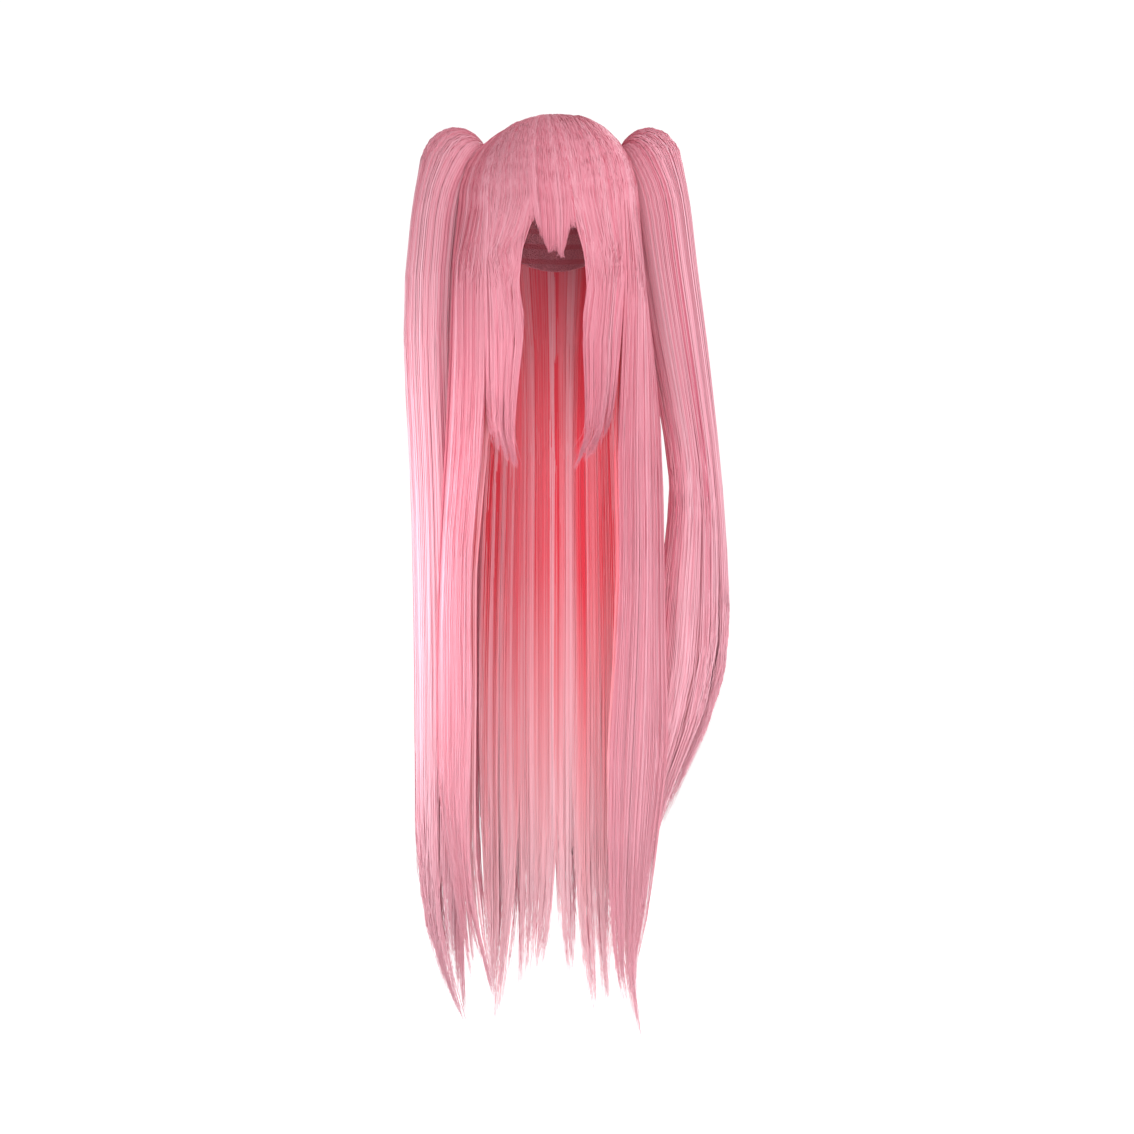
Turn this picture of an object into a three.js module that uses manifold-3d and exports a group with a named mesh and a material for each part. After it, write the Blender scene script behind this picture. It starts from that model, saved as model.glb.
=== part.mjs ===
// A long straight twin-tail wig, in millimetres.
// The right hand is +X, the back of the head is +Y and up is +Z.
// The origin is the top of the hollow that the head fills.
//
// A net cap carries every lock. From a whorl on the crown the hair falls in sheets: bangs,
// a side lock and a long tress on each hand, and the back hair. Each sheet is one body whose
// outer face is ribbed into locks and whose hem is cut into their points.
// Two clip-on tails sit on the sides of the crown, each over a plain hidden clip.
import * as THREE from "three";
import { mergeVertices } from "three/addons/utils/BufferGeometryUtils.js";
import Module from "manifold-3d";

const wasm = await Module();
wasm.setup();

// The head hollow and the cap
const HEAD_WIDTH = 152;
const HEAD_DEPTH = 192;
const CROWN_HEIGHT = 105; // from the widest level of the head to the top of the hollow
const CROWN_FULLNESS = 2.4; // 2 is an ellipse, and more is squarer at the temples
const CAP_WALL = 1.6;
const CAP_FRONT_ANGLE = 58; // how far down from the crown the rim lies, in degrees
const CAP_NAPE_ANGLE = 120;
const WHORL_OUT = -12; // the whorl's place beside and behind the top of the head
const WHORL_BACK = 8;

// The hair on the crown
const SEAM_ROOM = 1.1; // between the cap and the roots
const CROWN_HAIR = 12.5;
const ROOT_HAIR = 11.5; // its thickness at the whorl
const WHORL_RADIUS = 3;
const PART_GAP = 0.25; // half the gap between two neighbouring sheets
const LOCK_RELIEF = 2.6; // how deep the grooves between locks are
const TIP_THICKNESS = 1.2;

// The hanging hair, below the widest level of the head
const BANG_DROP = 52;
const SIDE_LOCK_DROP = 286;
const CHEEK_LOCK_DROP = 119;
const LEFT_TRESS_DROP = 878;
const RIGHT_TRESS_DROP = 928;
const BACK_DROP = 914;
const BANG_BODY = 11;
const SIDE_LOCK_BODY = 11;
const CHEEK_LOCK_WIDTH = 32;
const TRESS_BODY = 20;
const LEFT_TRESS_LIFT = 18;
const RIGHT_TRESS_LIFT = 4;
const BACK_BODY = 24;
const LEFT_PART = 15.4; // bearings of the partings at the widest level, in degrees from the face
const RIGHT_PART = 12.1;
const TRESS_PART = 58;
const BACK_PART = 88;

// The clip-on tails
const LEFT_TAIL_DROP = 922;
const RIGHT_TAIL_DROP = 902;
const LEFT_TAIL_REACH = 83; // how far the tail's outer side stands from the crown
const RIGHT_TAIL_REACH = 107;
const LEFT_TAIL_WIDTH = 80;
const RIGHT_TAIL_WIDTH = 76;
const TAIL_DEPTH = 72;
const TAIL_BACK = 39; // how far behind the middle of the head the tails hang
const TAIL_TOP = 2; // how far the humps rise above the origin
const TAIL_RELIEF = 2.6;
const TAIL_SEAT_GAP = 0.7;
const CLIP_LENGTH = 40;
const CLIP_WIDTH = 22;
const CLIP_BODY = 5;
const CLIP_ANGLE = 60; // how far down from the crown the clip lies, in degrees
const CLIP_BEARING = 108;
const POCKET_GAP = 0.4;

const HAIR_OUT = CAP_WALL + SEAM_ROOM + CROWN_HAIR;
const HALF_WIDTH = HEAD_WIDTH / 2 + HAIR_OUT;
const HALF_DEPTH = HEAD_DEPTH / 2 + HAIR_OUT;
const { degToRad, lerp, smoothstep } = THREE.MathUtils;

// The head's form

// A point of the head's surface, moved out by grow, in a unit direction from its middle.
function onHead(direction, grow) {
  const level = Math.hypot(direction.x, direction.y) ** CROWN_FULLNESS;
  const full = (level + Math.abs(direction.z) ** CROWN_FULLNESS) ** (-1 / CROWN_FULLNESS);
  return new THREE.Vector3(
    direction.x * full * (HEAD_WIDTH / 2 + grow),
    direction.y * full * (HEAD_DEPTH / 2 + grow),
    direction.z * full * (CROWN_HEIGHT + grow) - CROWN_HEIGHT,
  );
}

// The outward normal of the hair's dome in that direction.
function headNormal(direction) {
  return new THREE.Vector3(
    direction.x / HALF_WIDTH,
    direction.y / HALF_DEPTH,
    direction.z / (CROWN_HEIGHT + HAIR_OUT),
  ).normalize();
}

// A unit direction: bearing is 0 at the face and 90 on the right hand, fall is down from the top.
function bearing(degrees, fall = 90) {
  return new THREE.Vector3().setFromSphericalCoords(1, degToRad(fall), degToRad(degrees))
    .applyAxisAngle(new THREE.Vector3(1, 0, 0), Math.PI / 2);
}

const whorl = new THREE.Vector3(WHORL_OUT / HALF_WIDTH, WHORL_BACK / HALF_DEPTH, 0);
whorl.z = Math.sqrt(1 - whorl.lengthSq());

// The direction a share of the way from the whorl to the head's widest level.
function alongDome(degrees, share) {
  const end = bearing(degrees);
  const angle = whorl.angleTo(end);
  return whorl.clone().multiplyScalar(Math.sin((1 - share) * angle))
    .addScaledVector(end, Math.sin(share * angle))
    .divideScalar(Math.sin(angle));
}

// Solids

// A closed three.js geometry as a solid.
function solidOf(geometry) {
  geometry.deleteAttribute("normal");
  geometry.deleteAttribute("uv");
  const merged = mergeVertices(geometry, 1e-4);
  return new wasm.Manifold(new wasm.Mesh({
    numProp: 3,
    vertProperties: new Float32Array(merged.attributes.position.array),
    triVerts: new Uint32Array(merged.index.array),
  }));
}

// Moves each vertex of a geometry to place(vertex).
function shaped(geometry, place) {
  const at = geometry.attributes.position;
  const vertex = new THREE.Vector3();
  for (let i = 0; i < at.count; i += 1) {
    at.setXYZ(i, ...place(vertex.fromBufferAttribute(at, i), i).toArray());
  }
  return geometry;
}

// A closed body through rings of points. The first and last rings are single points.
function lofted(rings, sides, place) {
  const ball = new THREE.SphereGeometry(1, sides, rings.length - 1);
  return solidOf(shaped(ball, (vertex, i) => {
    const ring = rings[Math.floor(i / (sides + 1))];
    return place(ring, (i % (sides + 1)) % sides * 2 * Math.PI / sides);
  }));
}

// The cap

const CAP_SIDES = 28;
const CAP_ROWS = 8;

function capSolid() {
  const rimAt = (angle) => lerp(CAP_FRONT_ANGLE, CAP_NAPE_ANGLE, (1 - Math.cos(angle)) / 2);
  const outside = Array.from({ length: CAP_ROWS + 1 }, (_, row) => (
    { share: row / CAP_ROWS, grow: CAP_WALL }));
  const inside = outside.map(({ share }) => ({ share, grow: 0 })).reverse();
  return lofted([...outside, ...inside], CAP_SIDES, ({ share, grow }, angle) => (
    onHead(bearing(angle * 180 / Math.PI, rimAt(angle) * share), grow)));
}

// Hair sheets

// Where the rows of a sheet lie on the dome, as shares of the way from the whorl.
const DOME_ROWS = [0.13, 0.26, 0.38, 0.5, 0.62, 0.74, 0.87, 1];

// A value between the rows of a table, on a smooth curve that leaves the first row upright.
function between(rows, at, fall) {
  const last = rows.length - 1;
  let k = 0;
  while (k < last - 1 && fall > rows[k + 1].fall) k += 1;
  const slope = (i) => {
    if (i === 0) return 0;
    const [a, b] = [rows[i - 1], rows[Math.min(i + 1, last)]];
    return (at(b) - at(a)) / (b.fall - a.fall);
  };
  const span = rows[k + 1].fall - rows[k].fall;
  const t = (fall - rows[k].fall) / span;
  const eased = t * t * (3 - 2 * t);
  return at(rows[k]) * (1 - eased) + at(rows[k + 1]) * eased
    + span * t * (1 - t) * ((1 - t) * slope(k) - t * slope(k + 1));
}

// The hem's fall and the groove's depth, as shares, at a place across a sheet's locks.
function lockAt({ locks, start }, across) {
  const k = Math.max(0, locks.findIndex(({ to }) => across <= to + 1e-9));
  const { to, tip, low, high } = locks[k];
  const [from, before] = k ? [locks[k - 1].to, locks[k - 1].high] : [0, start];
  const t = (across - from) / (to - from);
  const down = t < tip ? t / tip : (1 - t) / (1 - tip);
  return {
    hem: lerp(t < tip ? before : high, low, down),
    groove: 1 - Math.sqrt(Math.max(0, 4 * t * (1 - t))),
  };
}

// A sheet of hair from the whorl to its hem. Its rows give its two edges as shares of the
// dome's half width and half depth, out and back, its bow as a share of the half depth, and
// its thickness as a share of its body. hand is 1 on the right and -1 on the left, and lift is
// how far the far edge stands out from the crown.
function sheetSolid(sheet) {
  const { from, to, drop, body, rows, columns, levels, hand = 1, lift = 0 } = sheet;
  const arc = Math.PI / 2 * (CROWN_HEIGHT + HAIR_OUT);
  const turn = (across, share) => {
    const inset = Math.atan(PART_GAP / (share * arc)) * 180 / Math.PI;
    return hand * lerp(from + inset, to - inset, across);
  };
  const top = {
    fall: 0, thick: CROWN_HAIR / body,
    place: (across) => onHead(bearing(turn(across, 1)), HAIR_OUT + lift * across ** 2),
  };
  const hung = [top, ...rows.map((row) => {
    const near = new THREE.Vector2(hand * row.nearOut * HALF_WIDTH, row.nearBack * HALF_DEPTH);
    const far = new THREE.Vector2(hand * row.farOut * HALF_WIDTH, row.farBack * HALF_DEPTH);
    const chord = far.clone().sub(near).normalize();
    const out = new THREE.Vector2(chord.y, -chord.x).multiplyScalar(hand * row.bow * HALF_DEPTH);
    near.addScaledVector(chord, PART_GAP);
    far.addScaledVector(chord, -PART_GAP);
    const place = (across) => near.clone().lerp(far, across)
      .addScaledVector(out, 4 * across * (1 - across));
    return { fall: row.fall, thick: row.thick, place };
  })];
  const nudge = 0.02;
  const faceAt = (across, fall) => new THREE.Vector3(
    between(hung, (row) => row.place(across).x, fall),
    between(hung, (row) => row.place(across).y, fall),
    -CROWN_HEIGHT - fall * drop,
  );
  const place = ({ x, y, z }) => {
    const across = hand > 0 ? x + 0.5 : 0.5 - x;
    const row = Math.round((z + 0.5) * (DOME_ROWS.length + levels)) - 1;
    const { hem, groove } = lockAt(sheet, across);
    const edge = 1 - 0.45 * Math.abs(2 * across - 1) ** 6;
    const inside = y < 0;
    if (row < DOME_ROWS.length) {
      const share = row < 0 ? WHORL_RADIUS / arc : DOME_ROWS[row];
      const direction = alongDome(turn(across, share), share);
      const depth = lerp(ROOT_HAIR, CROWN_HAIR, smoothstep(share, 0, DOME_ROWS[2]));
      const relief = LOCK_RELIEF * groove * smoothstep(share, 0, 1);
      const raised = lift * across ** 2 * smoothstep(share, 0.25, 0.85);
      const roots = CAP_WALL + SEAM_ROOM;
      const face = roots + depth + raised - relief - (1 - edge) * LOCK_RELIEF;
      return onHead(direction, inside ? roots : face);
    }
    const share = (row + 1 - DOME_ROWS.length) / levels;
    const fall = share * hem;
    const point = faceAt(across, fall);
    const ahead = faceAt(Math.min(1, across + nudge), fall);
    const normal = ahead.sub(faceAt(Math.max(0, across - nudge), fall));
    normal.set(normal.y, -normal.x, 0).normalize().multiplyScalar(hand);
    const full = between(hung, ({ thick }) => thick, fall) * body * edge;
    const thick = lerp(full, TIP_THICKNESS, smoothstep(share, 0.62, 1));
    const relief = LOCK_RELIEF * (groove + 1 - edge) * (1 - smoothstep(share, 0.75, 1));
    point.addScaledVector(normal, inside ? -thick : -Math.min(relief, thick / 2));
    if (to === 180) point.x = hand * Math.max(PART_GAP, hand * point.x);
    return point;
  };
  const box = new THREE.BoxGeometry(1, 1, 1, columns, 1, DOME_ROWS.length + levels);
  return solidOf(shaped(box, place));
}

// A tapering lock along a curve: widths across it and the other way, at its thickest.
function lockSolid(points, across, width, thickness) {
  const curve = new THREE.CatmullRomCurve3(points);
  const steps = 7;
  const rings = Array.from({ length: steps + 1 }, (_, i) => {
    const share = i / steps;
    const swell = Math.sin(Math.PI * share ** 0.6);
    const flow = curve.getTangentAt(share);
    const side = across.clone().addScaledVector(flow, -across.dot(flow)).normalize();
    return {
      middle: curve.getPointAt(share),
      side: side.clone().multiplyScalar(width / 2 * swell),
      deep: flow.cross(side).negate().multiplyScalar(thickness / 2 * swell),
    };
  });
  return lofted(rings, 8, ({ middle, side, deep }, angle) => (
    middle.clone().addScaledVector(side, Math.cos(angle)).addScaledVector(deep, Math.sin(angle))));
}

// The tables of the sheets

const BANGS = {
  from: -LEFT_PART, to: RIGHT_PART, drop: BANG_DROP, body: BANG_BODY, columns: 10, levels: 3,
  start: 0.08,
  locks: [
    { to: 0.5, tip: 0.7, low: 0.88, high: 0.78 },
    { to: 1, tip: 0.5, low: 1, high: 0.26 },
  ],
  rows: [
    { fall: 0.5, nearOut: -0.27, nearBack: -0.955, farOut: 0.215, farBack: -0.965, bow: 0.02, thick: 1 },
    { fall: 1, nearOut: -0.26, nearBack: -0.93, farOut: 0.22, farBack: -0.94, bow: 0.02, thick: 0.9 },
  ],
};

const SIDE_LOCKS = {
  left: {
    from: LEFT_PART, to: TRESS_PART, drop: SIDE_LOCK_DROP, body: SIDE_LOCK_BODY, columns: 12,
    levels: 9, start: 0.96,
    locks: [
      { to: 0.3, tip: 0.5, low: 1, high: 0.95 },
      { to: 0.62, tip: 0.4, low: 0.97, high: 0.9 },
      { to: 1, tip: 0.3, low: 0.93, high: 0.8 },
    ],
    rows: [
      { fall: 0.14, nearOut: 0.55, nearBack: -0.87, farOut: 0.87, farBack: -0.53, bow: 0.06, thick: 1 },
      { fall: 0.26, nearOut: 0.5, nearBack: -0.84, farOut: 0.88, farBack: -0.54, bow: 0.07, thick: 1 },
      { fall: 0.42, nearOut: 0.42, nearBack: -0.81, farOut: 0.88, farBack: -0.55, bow: 0.07, thick: 1 },
      { fall: 0.68, nearOut: 0.49, nearBack: -0.75, farOut: 0.86, farBack: -0.56, bow: 0.06, thick: 1 },
      { fall: 0.9, nearOut: 0.53, nearBack: -0.71, farOut: 0.82, farBack: -0.57, bow: 0.05, thick: 0.9 },
      { fall: 1, nearOut: 0.5, nearBack: -0.7, farOut: 0.74, farBack: -0.58, bow: 0.04, thick: 0.8 },
    ],
  },
  right: {
    from: RIGHT_PART, to: TRESS_PART, drop: SIDE_LOCK_DROP, body: SIDE_LOCK_BODY, columns: 12,
    levels: 9, start: 0.96,
    locks: [
      { to: 0.3, tip: 0.35, low: 1, high: 0.95 },
      { to: 0.62, tip: 0.35, low: 0.97, high: 0.88 },
      { to: 1, tip: 0.25, low: 0.9, high: 0.76 },
    ],
    rows: [
      { fall: 0.14, nearOut: 0.42, nearBack: -0.9, farOut: 0.86, farBack: -0.53, bow: 0.07, thick: 1 },
      { fall: 0.26, nearOut: 0.4, nearBack: -0.86, farOut: 0.85, farBack: -0.54, bow: 0.08, thick: 1 },
      { fall: 0.42, nearOut: 0.33, nearBack: -0.82, farOut: 0.82, farBack: -0.55, bow: 0.08, thick: 1 },
      { fall: 0.68, nearOut: 0.36, nearBack: -0.76, farOut: 0.76, farBack: -0.57, bow: 0.07, thick: 1 },
      { fall: 0.9, nearOut: 0.36, nearBack: -0.72, farOut: 0.66, farBack: -0.6, bow: 0.04, thick: 0.9 },
      { fall: 1, nearOut: 0.26, nearBack: -0.72, farOut: 0.5, farBack: -0.62, bow: 0.03, thick: 0.8 },
    ],
  },
};

// The short lock of each side lock that lies on the cheek: its root and its point.
const CHEEK_LOCKS = {
  left: { rootOut: 0.6, rootBack: -0.8, bendOut: 0.52, tipOut: 0.24, tipBack: -0.79, tip: 1 },
  right: { rootOut: 0.52, rootBack: -0.83, bendOut: 0.46, tipOut: 0.3, tipBack: -0.79, tip: 1.03 },
};

const TRESSES = {
  left: {
    from: TRESS_PART, to: BACK_PART, drop: LEFT_TRESS_DROP, body: TRESS_BODY, columns: 12,
    levels: 14, start: 0.955, lift: LEFT_TRESS_LIFT,
    locks: [
      { to: 0.35, tip: 0.4, low: 1, high: 0.93 },
      { to: 0.68, tip: 0.45, low: 0.98, high: 0.9 },
      { to: 1, tip: 0.5, low: 0.96, high: 0.86 },
    ],
    rows: [
      { fall: 0.045, nearOut: 0.89, nearBack: -0.51, farOut: 1.27, farBack: -0.06, bow: 0.05, thick: 0.7 },
      { fall: 0.16, nearOut: 0.9, nearBack: -0.54, farOut: 1.3, farBack: -0.15, bow: 0.05, thick: 0.8 },
      { fall: 0.28, nearOut: 0.92, nearBack: -0.57, farOut: 1.35, farBack: -0.25, bow: 0.05, thick: 0.9 },
      { fall: 0.4, nearOut: 1.04, nearBack: -0.58, farOut: 1.42, farBack: -0.3, bow: 0.05, thick: 1 },
      { fall: 0.5, nearOut: 1.08, nearBack: -0.57, farOut: 1.46, farBack: -0.3, bow: 0.05, thick: 1 },
      { fall: 0.63, nearOut: 1.06, nearBack: -0.56, farOut: 1.48, farBack: -0.3, bow: 0.05, thick: 1 },
      { fall: 0.76, nearOut: 1.1, nearBack: -0.55, farOut: 1.44, farBack: -0.3, bow: 0.04, thick: 0.95 },
      { fall: 0.88, nearOut: 1.06, nearBack: -0.54, farOut: 1.26, farBack: -0.34, bow: 0.03, thick: 0.8 },
      { fall: 1, nearOut: 0.9, nearBack: -0.52, farOut: 1.02, farBack: -0.4, bow: 0.02, thick: 0.6 },
    ],
  },
  right: {
    from: TRESS_PART, to: BACK_PART, drop: RIGHT_TRESS_DROP, body: TRESS_BODY, columns: 12,
    levels: 14, start: 0.9, lift: RIGHT_TRESS_LIFT,
    locks: [
      { to: 0.35, tip: 0.6, low: 0.96, high: 0.9 },
      { to: 0.68, tip: 0.5, low: 1, high: 0.89 },
      { to: 1, tip: 0.3, low: 0.95, high: 0.82 },
    ],
    rows: [
      { fall: 0.045, nearOut: 0.88, nearBack: -0.51, farOut: 1.07, farBack: -0.06, bow: 0.07, thick: 0.7 },
      { fall: 0.13, nearOut: 0.87, nearBack: -0.54, farOut: 1.18, farBack: -0.13, bow: 0.06, thick: 0.8 },
      { fall: 0.27, nearOut: 0.8, nearBack: -0.58, farOut: 1.3, farBack: -0.25, bow: 0.06, thick: 0.9 },
      { fall: 0.4, nearOut: 0.82, nearBack: -0.6, farOut: 1.33, farBack: -0.3, bow: 0.06, thick: 1 },
      { fall: 0.5, nearOut: 0.79, nearBack: -0.6, farOut: 1.34, farBack: -0.31, bow: 0.06, thick: 1 },
      { fall: 0.65, nearOut: 0.7, nearBack: -0.59, farOut: 1.37, farBack: -0.31, bow: 0.05, thick: 1 },
      { fall: 0.76, nearOut: 0.68, nearBack: -0.57, farOut: 1.25, farBack: -0.32, bow: 0.05, thick: 0.95 },
      { fall: 0.86, nearOut: 0.69, nearBack: -0.55, farOut: 1.16, farBack: -0.33, bow: 0.04, thick: 0.85 },
      { fall: 0.93, nearOut: 0.74, nearBack: -0.53, farOut: 1.04, farBack: -0.34, bow: 0.03, thick: 0.75 },
      { fall: 1, nearOut: 0.88, nearBack: -0.5, farOut: 1.02, farBack: -0.38, bow: 0.02, thick: 0.6 },
    ],
  },
};

const BACK_ROWS = [
  { fall: 0.06, nearOut: 0.95, nearBack: 0.14, farOut: 0, farBack: 1, bow: 0.22, thick: 0.5 },
  { fall: 0.15, nearOut: 0.93, nearBack: 0.45, farOut: 0, farBack: 0.98, bow: 0.14, thick: 0.65 },
  { fall: 0.3, nearOut: 0.99, nearBack: 0.74, farOut: 0, farBack: 0.95, bow: 0.06, thick: 0.9 },
  { fall: 0.6, nearOut: 1.05, nearBack: 0.78, farOut: 0, farBack: 0.93, bow: 0.04, thick: 1 },
  { fall: 0.85, nearOut: 0.98, nearBack: 0.78, farOut: 0, farBack: 0.9, bow: 0.03, thick: 0.9 },
  { fall: 1, nearOut: 0.86, nearBack: 0.76, farOut: 0, farBack: 0.88, bow: 0.02, thick: 0.7 },
];

const BACKS = {
  left: {
    from: BACK_PART, to: 180, drop: BACK_DROP, body: BACK_BODY, columns: 16, levels: 12,
    start: 0.88, rows: BACK_ROWS,
    locks: [
      { to: 0.28, tip: 0.6, low: 0.97, high: 0.89 },
      { to: 0.52, tip: 0.3, low: 1, high: 0.91 },
      { to: 0.76, tip: 0.5, low: 0.96, high: 0.88 },
      { to: 1, tip: 0.5, low: 0.94, high: 0.9 },
    ],
  },
  right: {
    from: BACK_PART, to: 180, drop: BACK_DROP, body: BACK_BODY, columns: 16, levels: 12,
    start: 0.9, rows: BACK_ROWS,
    locks: [
      { to: 0.28, tip: 0.4, low: 0.95, high: 0.88 },
      { to: 0.52, tip: 0.6, low: 0.98, high: 0.9 },
      { to: 0.76, tip: 0.5, low: 1, high: 0.87 },
      { to: 1, tip: 0.4, low: 0.95, high: 0.9 },
    ],
  },
};

// The tails. Down is a share of the tail's length, reach a share of its reach from the crown
// to its outer side, and wide and deep are shares of its width and depth.
const TAILS = {
  left: {
    drop: LEFT_TAIL_DROP, reach: LEFT_TAIL_REACH, width: LEFT_TAIL_WIDTH,
    rows: [
      { down: 0, reach: 0.22, wide: 0, deep: 0 },
      { down: 0.003, reach: 0.44, wide: 0.42, deep: 0.42 },
      { down: 0.008, reach: 0.56, wide: 0.64, deep: 0.62 },
      { down: 0.02, reach: 0.67, wide: 0.86, deep: 0.82 },
      { down: 0.045, reach: 0.785, wide: 1, deep: 0.94 },
      { down: 0.09, reach: 0.885, wide: 1.02, deep: 0.98 },
      { down: 0.16, reach: 0.98, wide: 1.02, deep: 1 },
      { down: 0.25, reach: 1, wide: 0.98, deep: 1 },
      { down: 0.4, reach: 0.91, wide: 0.9, deep: 0.98 },
      { down: 0.6, reach: 0.86, wide: 0.85, deep: 0.92 },
      { down: 0.74, reach: 0.85, wide: 0.8, deep: 0.86 },
      { down: 0.82, reach: 0.82, wide: 0.72, deep: 0.76 },
      { down: 0.89, reach: 0.7, wide: 0.54, deep: 0.6 },
      { down: 0.94, reach: 0.51, wide: 0.34, deep: 0.4 },
      { down: 0.975, reach: 0.32, wide: 0.16, deep: 0.22 },
      { down: 1, reach: 0.13, wide: 0, deep: 0 },
    ],
    points: [
      { down: 0.74, reach: 0.66, back: 0.8, tipDown: 0.955, tipReach: 0.64, tipBack: 0.62, size: 0.8 },
      { down: 0.76, reach: 0.4, back: 1.3, tipDown: 0.975, tipReach: 0.3, tipBack: 1.36, size: 0.9 },
      { down: 0.77, reach: 0.24, back: 0.9, tipDown: 0.962, tipReach: 0.08, tipBack: 0.58, size: 0.8 },
    ],
  },
  right: {
    drop: RIGHT_TAIL_DROP, reach: RIGHT_TAIL_REACH, width: RIGHT_TAIL_WIDTH,
    rows: [
      { down: 0, reach: 0.1, wide: 0, deep: 0 },
      { down: 0.003, reach: 0.27, wide: 0.42, deep: 0.42 },
      { down: 0.008, reach: 0.35, wide: 0.64, deep: 0.62 },
      { down: 0.02, reach: 0.425, wide: 0.86, deep: 0.82 },
      { down: 0.045, reach: 0.505, wide: 1, deep: 0.94 },
      { down: 0.09, reach: 0.585, wide: 1.02, deep: 0.98 },
      { down: 0.16, reach: 0.66, wide: 0.98, deep: 1 },
      { down: 0.25, reach: 0.77, wide: 0.92, deep: 1 },
      { down: 0.36, reach: 0.885, wide: 0.77, deep: 0.98 },
      { down: 0.43, reach: 0.945, wide: 0.78, deep: 0.96 },
      { down: 0.5, reach: 0.985, wide: 0.98, deep: 0.94 },
      { down: 0.56, reach: 1, wide: 1.08, deep: 0.92 },
      { down: 0.62, reach: 0.945, wide: 1.06, deep: 0.84 },
      { down: 0.68, reach: 0.78, wide: 0.92, deep: 0.7 },
      { down: 0.74, reach: 0.5, wide: 0.62, deep: 0.54 },
      { down: 0.82, reach: 0.22, wide: 0.34, deep: 0.42 },
      { down: 0.92, reach: 0.1, wide: 0.2, deep: 0.26 },
      { down: 1, reach: 0.02, wide: 0, deep: 0 },
    ],
    points: [
      { down: 0.56, reach: 0.72, back: 0.8, tipDown: 0.752, tipReach: 0.34, tipBack: 0.62, size: 1 },
      { down: 0.58, reach: 0.66, back: 1.2, tipDown: 0.772, tipReach: 0.3, tipBack: 1.1, size: 1 },
      { down: 0.62, reach: 0.4, back: 0.7, tipDown: 0.82, tipReach: 0.14, tipBack: 0.5, size: 1 },
    ],
  },
};
const TAIL_LEVELS = [0, 0.003, 0.008, 0.02, 0.045, 0.08, 0.12, 0.17, 0.23, 0.3, 0.37, 0.44, 0.5,
  0.56, 0.62, 0.68, 0.74, 0.8, 0.85, 0.9, 0.94, 0.975, 1];
const TAIL_SIDES = 24;
const POINT_WIDTH = 28;
const POINT_DEPTH = 22;

function sideLockSolid(name, hand) {
  const { rootOut, rootBack, bendOut, tipOut, tipBack, tip } = CHEEK_LOCKS[name];
  const at = (out, back, share) => new THREE.Vector3(
    hand * out * HALF_WIDTH, back * HALF_DEPTH, -CROWN_HEIGHT - share * CHEEK_LOCK_DROP);
  const lock = lockSolid([
    at(rootOut, rootBack, 0.15),
    at(bendOut, lerp(rootBack, tipBack, 0.4), 0.58),
    at(lerp(bendOut, tipOut, 0.45), lerp(rootBack, tipBack, 0.8), 0.86),
    at(tipOut, tipBack, tip),
  ], new THREE.Vector3(hand, -0.7, 0).normalize(), CHEEK_LOCK_WIDTH, SIDE_LOCK_BODY);
  return sheetSolid({ ...SIDE_LOCKS[name], hand }).add(lock);
}

function tailSolid(name, hand) {
  const { drop, reach, width, rows, points } = TAILS[name];
  const length = TAIL_TOP + CROWN_HEIGHT + drop;
  const table = rows.map((row) => ({ ...row, fall: row.down }));
  const value = (key, down) => between(table, (row) => row[key], down);
  const rings = TAIL_LEVELS.map((down) => {
    const half = Math.max(0, value("wide", down)) * width / 2;
    return {
      middle: HALF_WIDTH + value("reach", down) * reach - half, half,
      deep: Math.max(0, value("deep", down)) * TAIL_DEPTH / 2,
      z: TAIL_TOP - down * length, turn: 1.4 * down,
    };
  });
  const body = lofted(rings, TAIL_SIDES, ({ middle, half, deep, z, turn }, angle) => {
    const lock = Math.round(angle * TAIL_SIDES / (2 * Math.PI));
    const relief = (lock % 2) * Math.min(TAIL_RELIEF, half * 0.15);
    const around = angle + turn * 2 * Math.PI / TAIL_SIDES;
    return new THREE.Vector3(
      hand * (middle + (half - relief) * Math.cos(around)),
      TAIL_BACK + hand * (deep - relief) * Math.sin(around),
      z,
    );
  });
  const tips = points.map((point) => {
    const at = (reachShare, back, down) => new THREE.Vector3(
      hand * (HALF_WIDTH + reachShare * reach), back * TAIL_BACK, TAIL_TOP - down * length);
    const mix = (t) => at(
      lerp(point.reach, point.tipReach, t * t), lerp(point.back, point.tipBack, t),
      lerp(point.down, point.tipDown, t));
    const across = new THREE.Vector3(1, 0, 0);
    return lockSolid(
      [0, 0.35, 0.7, 1].map(mix), across, POINT_WIDTH * point.size, POINT_DEPTH * point.size);
  });
  return wasm.Manifold.union([body, ...tips]);
}

// What the crown hair fills, grown by a gap, for what sits on it to be cut to.
function crownRoom(gap) {
  const grow = HAIR_OUT + gap;
  const steps = 10;
  const rings = Array.from({ length: steps + 1 }, (_, i) => i * 90 / steps);
  return lofted([...rings, 100, 180], 40, (fall, angle) => {
    const point = onHead(bearing(angle * 180 / Math.PI, Math.min(fall, 90)), grow);
    if (fall > 90) point.z = -CROWN_HEIGHT - BANG_DROP * 3;
    if (fall === 180) point.multiply(new THREE.Vector3(0, 0, 1));
    return point;
  });
}

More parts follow.
